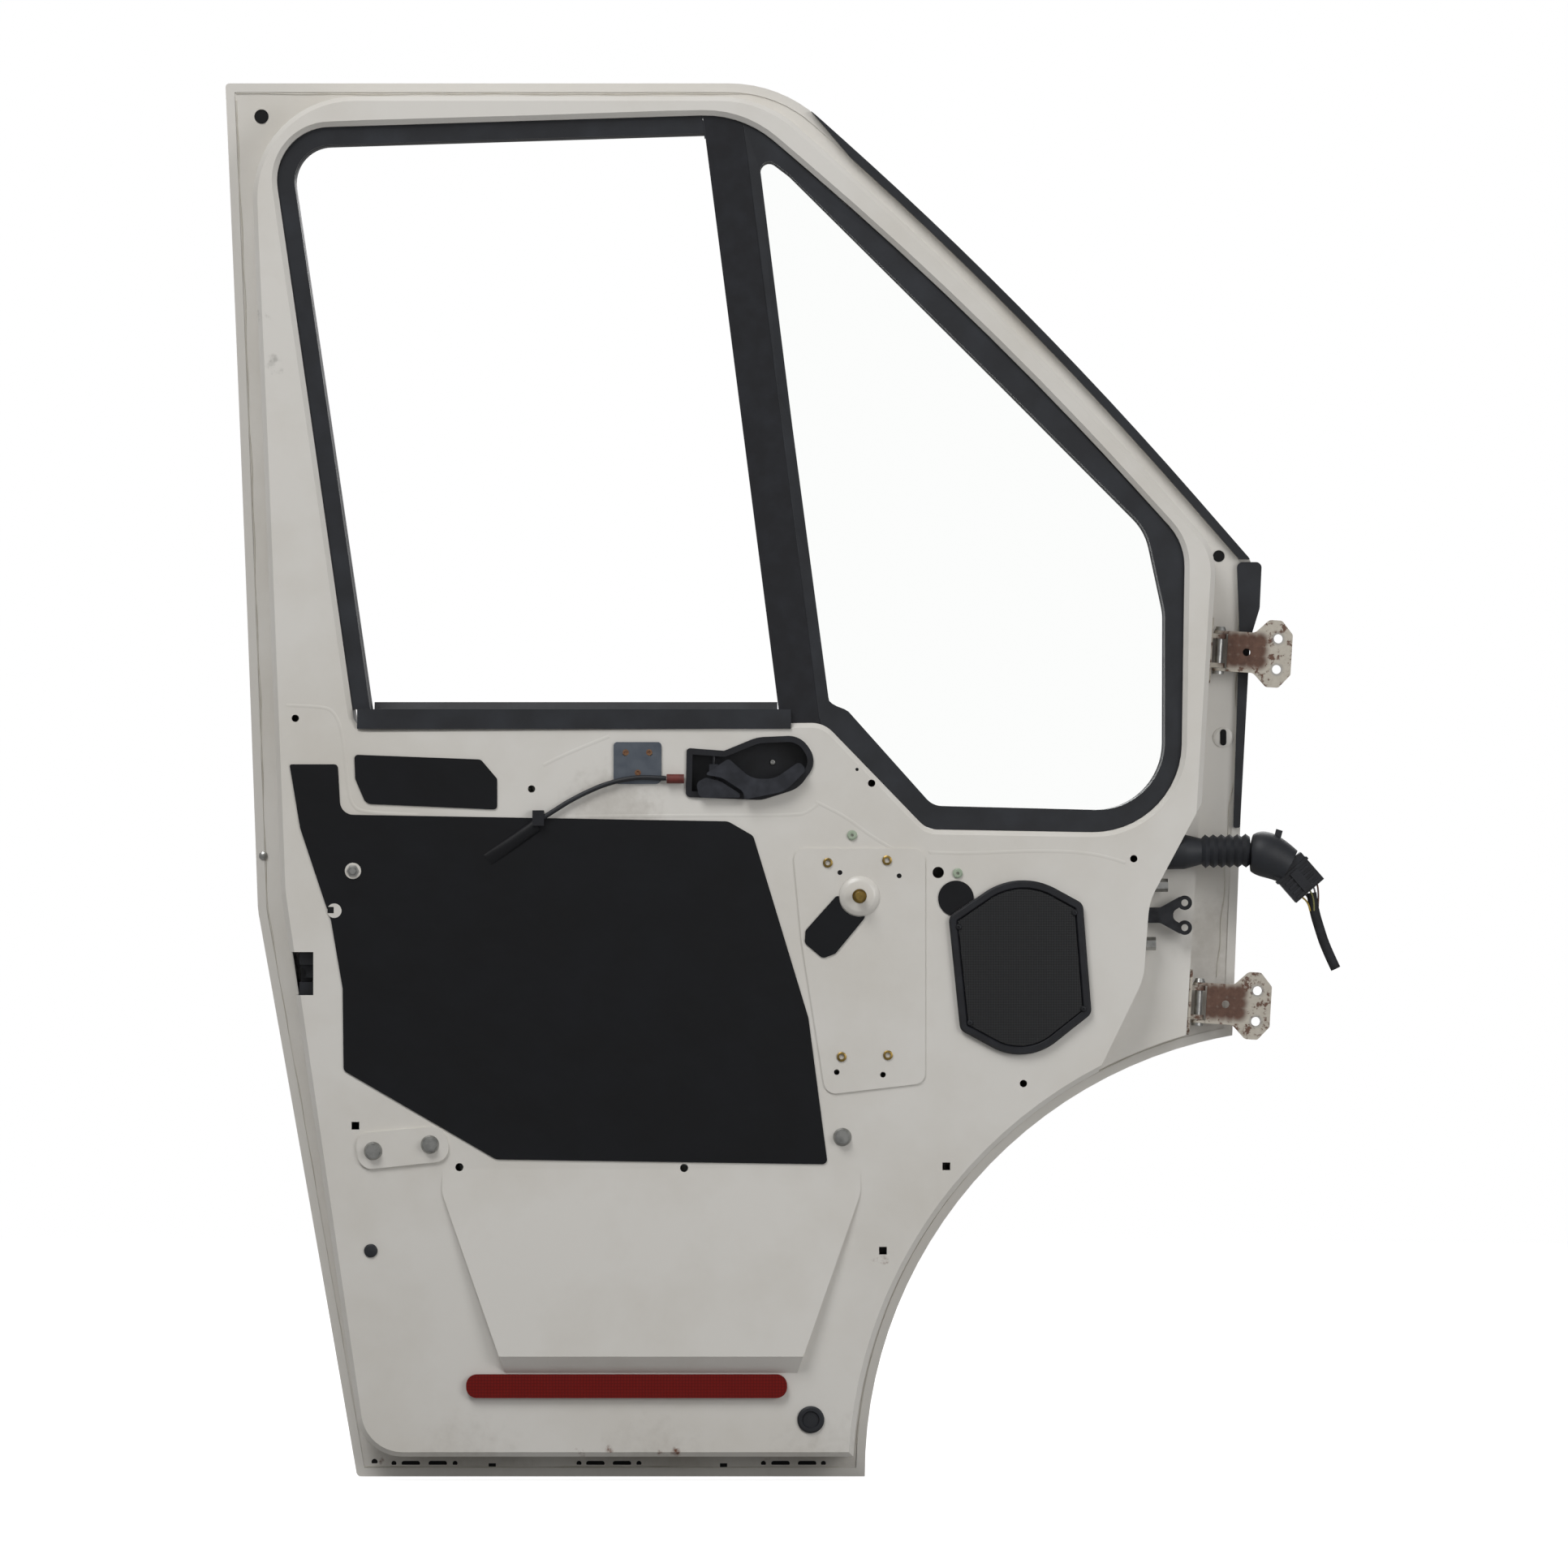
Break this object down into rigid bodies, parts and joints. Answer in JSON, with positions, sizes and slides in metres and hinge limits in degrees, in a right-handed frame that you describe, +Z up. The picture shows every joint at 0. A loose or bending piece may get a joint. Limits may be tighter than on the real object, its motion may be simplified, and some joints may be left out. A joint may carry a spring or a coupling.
{
  "type": "van front door",
  "caption": "Bare left front door of a van, hinged: pressed skin and inner panel, quarter glass, handle, latch, check arm, hinges and wiring.",
  "frame": {"origin": "lower pillar leaf of the hinge: on its back face, midway between its two bolt holes", "axes": "+X towards the front of the van, +Y outwards through the skin, +Z up"},
  "size_m": [1.1557, 0.1405, 1.4475],
  "materials": {
    "white_paint": "gloss, worn",
    "rusty_steel": "rusted paint",
    "rubber": "matt",
    "glass": "clear",
    "black_plastic": "fine grain",
    "black_foil": "satin",
    "plated_steel": "zinc plated",
    "brass": "dull",
    "red_reflector": "clear gloss",
    "red_rubber": "matt",
    "green_plastic": "plain"
  },
  "bodies": {
    "pillar_leaves": {"lower_hinge_pillar_leaf": "rusty_steel", "upper_hinge_pillar_leaf": "rusty_steel", "lower_hinge_pin": "rusty_steel", "upper_hinge_pin": "rusty_steel"},
    "door": {"outer_skin": "white_paint", "inner_panel": "white_paint", "glass_run_channel": "rubber", "division_bar": "rubber", "quarter_glass": "glass", "quarter_glass_seal": "rubber", "drop_glass": "glass", "inner_belt_seal": "rubber", "outer_belt_seal": "rubber", "a_pillar_seal": "rubber", "front_edge_seal": "rubber", "lower_hinge_door_leaf": "rusty_steel", "upper_hinge_door_leaf": "rusty_steel", "latch_housing": "black_plastic", "latch_claw": "plated_steel", "check_fixing_nuts": "plated_steel", "handle_bezel": "black_plastic", "release_cable": "rubber", "cable_end_sleeve": "red_rubber", "cable_clip": "black_plastic", "armrest_bracket": "plated_steel", "main_membrane": "black_foil", "upper_membrane": "black_foil", "slot_patch": "black_foil", "round_patch": "black_foil", "speaker_grille_frame": "black_plastic", "speaker_grille_mesh": "black_plastic", "winder_boss": "white_paint", "winder_spindle": "brass", "regulator_bolts": "plated_steel", "threaded_inserts": "brass", "clip_sockets": "green_plastic", "drain_grommet": "rubber", "round_plug": "rubber", "oval_plug": "rubber", "red_reflector": "red_reflector", "harness_gaiter": "rubber", "harness_boot": "rubber", "harness_connector": "black_plastic", "harness_tail": "rubber", "pull_handle": "black_plastic", "side_moulding": "black_plastic"},
    "release_lever": {"release_lever": "black_plastic"},
    "lock_rocker": {"lock_rocker": "black_plastic"},
    "check_arm": {"check_arm": "rusty_steel"}
  },
  "joints": [
    {"name": "door_swing", "type": "hinge", "parent": "pillar_leaves", "child": "door", "pos_m": [-0.06009, 0.004, 0.00357], "axis": [0.0593, 0, 0.9982], "range_deg": [0, 70]},
    {"name": "lever_pull", "type": "hinge", "parent": "door", "child": "release_lever", "pos_m": [-0.56459, -0.046, 0.24457], "axis": [0, 0, -1], "range_deg": [0, 38], "stiffness_Nm_per_rad": 0.4},
    {"name": "lock_turn", "type": "hinge", "parent": "door", "child": "lock_rocker", "pos_m": [-0.56459, -0.046, 0.24457], "axis": [0, 0, -1], "range_deg": [0, 8]},
    {"name": "check_slide", "type": "slide", "parent": "door", "child": "check_arm", "axis": [1, 0, 0], "range_m": [0, 0.05]}
  ]
}
